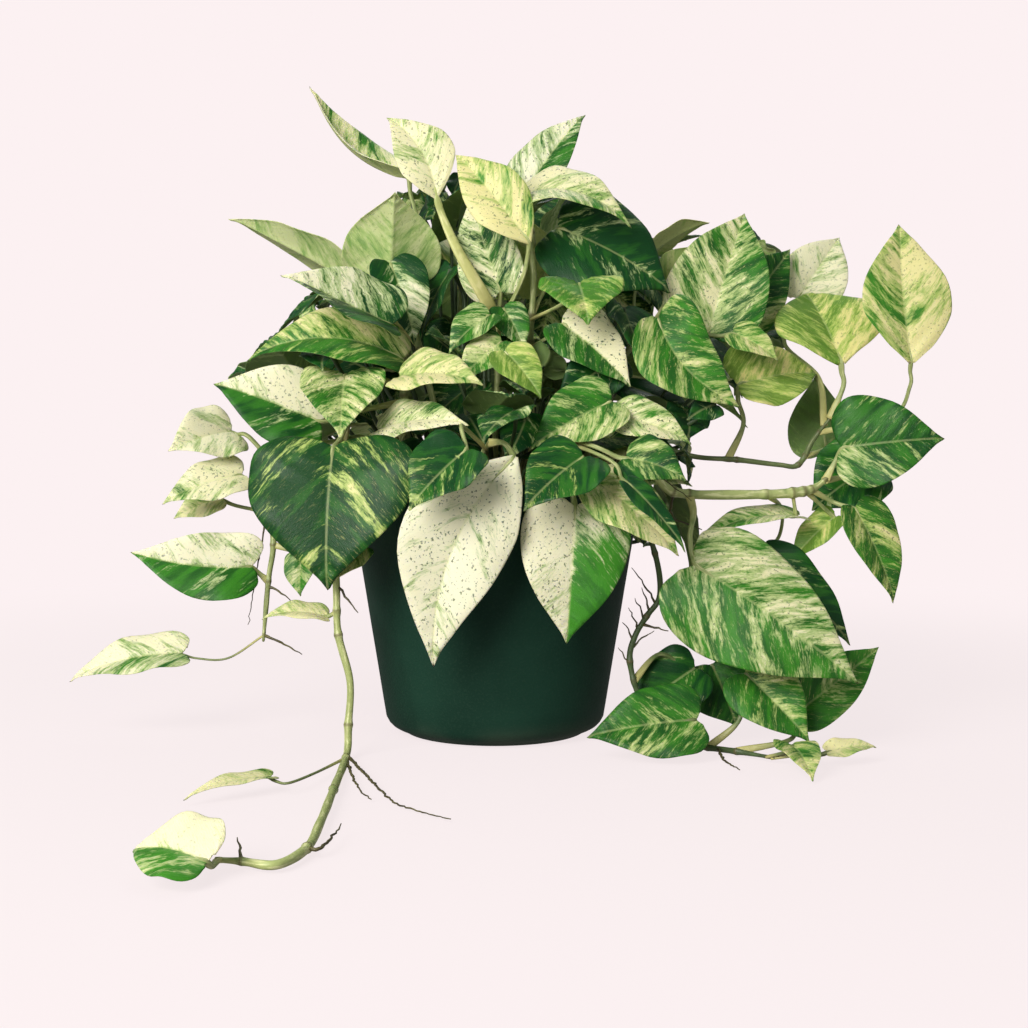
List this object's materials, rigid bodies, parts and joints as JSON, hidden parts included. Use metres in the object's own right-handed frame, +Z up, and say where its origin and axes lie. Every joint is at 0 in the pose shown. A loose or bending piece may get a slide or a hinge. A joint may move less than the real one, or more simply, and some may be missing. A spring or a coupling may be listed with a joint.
{
  "type": "potted pothos plant",
  "caption": "Variegated pothos in a plain dark nursery pot, with a dense crown of heart-shaped leaves and stems that spill over the rim and trail along the surface.",
  "frame": {"origin": "centre of the pot's flat base, on the surface it stands on", "axes": "+Z up along the pot's axis, -Y towards the front where the long stem trails, +X to the right as seen from the front"},
  "size_m": [0.5197, 0.4913, 0.3968],
  "materials": {
    "pot": "moulded, satin, fine grain",
    "soil": "loose potting mix, rough",
    "foliage": "waxy leaf, cream and green marbling"
  },
  "bodies": {
    "root": {"pot": "pot", "soil": "soil", "vine_top_left": "foliage", "vine_top_centre": "foliage", "vine_top_right": "foliage", "vine_right_crown": "foliage", "vine_right_reach": "foliage", "vine_right_arch": "foliage", "vine_right_low": "foliage", "vine_left_crown": "foliage", "vine_left_reach": "foliage", "vine_left_trail": "foliage", "vine_front_left": "foliage", "vine_front_right": "foliage", "vine_back_right": "foliage", "vine_back_middle_right": "foliage", "vine_back_middle_left": "foliage", "vine_back_left": "foliage"}
  },
  "joints": []
}
